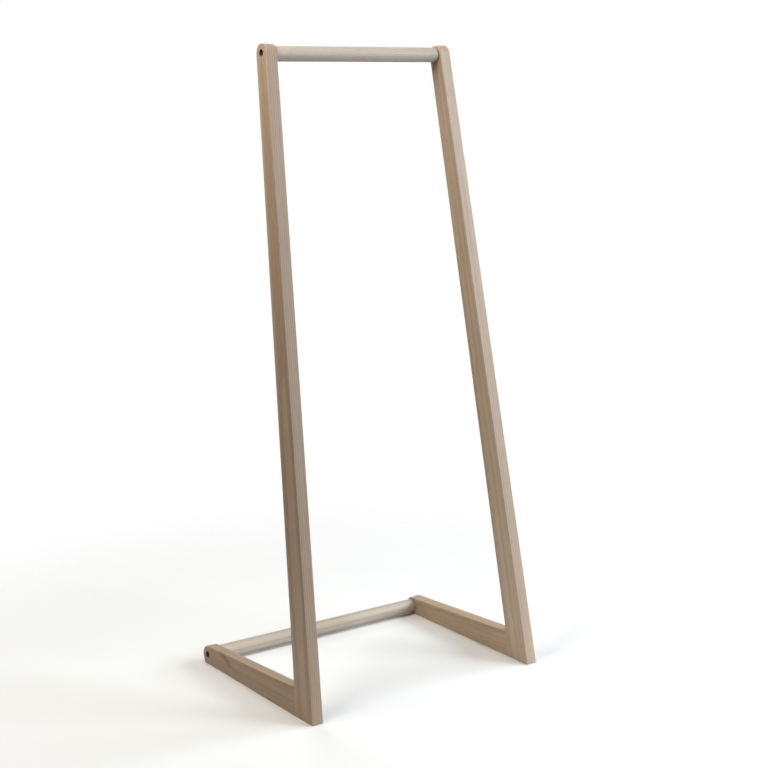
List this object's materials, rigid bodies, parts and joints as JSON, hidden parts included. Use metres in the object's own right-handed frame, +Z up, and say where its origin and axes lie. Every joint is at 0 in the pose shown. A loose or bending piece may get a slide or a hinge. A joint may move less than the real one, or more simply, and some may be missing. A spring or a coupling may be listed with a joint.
{
  "type": "valet stand",
  "caption": "Free-standing oak valet stand: leaning side frames with round-ended boards, a round hanging bar on top and a round bar between the feet.",
  "frame": {"origin": "on the floor under the middle of the stand's overall box", "axes": "+X to the stand's right seen from the front, +Y to the rear, +Z up; the front of the stand faces -Y"},
  "size_m": [0.5, 0.375, 1.132],
  "materials": {
    "oak_board": "matt, pale soaped oak, straight grain along each board",
    "oak_bar": "matt, pale soaped oak, grain along the bar",
    "black_steel": "black oxide steel, satin",
    "zinc_steel": "zinc plated, satin",
    "insert_steel": "turned brass, satin",
    "dowel_wood": "plain beech, unfinished"
  },
  "bodies": {
    "root": {"left_upright": "oak_board", "right_upright": "oak_board", "left_foot_rail": "oak_board", "right_foot_rail": "oak_board", "top_bar": "oak_bar", "rear_bar": "oak_bar", "top_left_bolt": "black_steel", "top_right_bolt": "black_steel", "rear_left_bolt": "black_steel", "rear_right_bolt": "black_steel", "top_left_washer": "zinc_steel", "top_right_washer": "zinc_steel", "rear_left_washer": "zinc_steel", "rear_right_washer": "zinc_steel", "top_left_insert": "insert_steel", "top_right_insert": "insert_steel", "rear_left_insert": "insert_steel", "rear_right_insert": "insert_steel", "left_upper_dowel": "dowel_wood", "left_lower_dowel": "dowel_wood", "right_upper_dowel": "dowel_wood", "right_lower_dowel": "dowel_wood"}
  },
  "joints": []
}
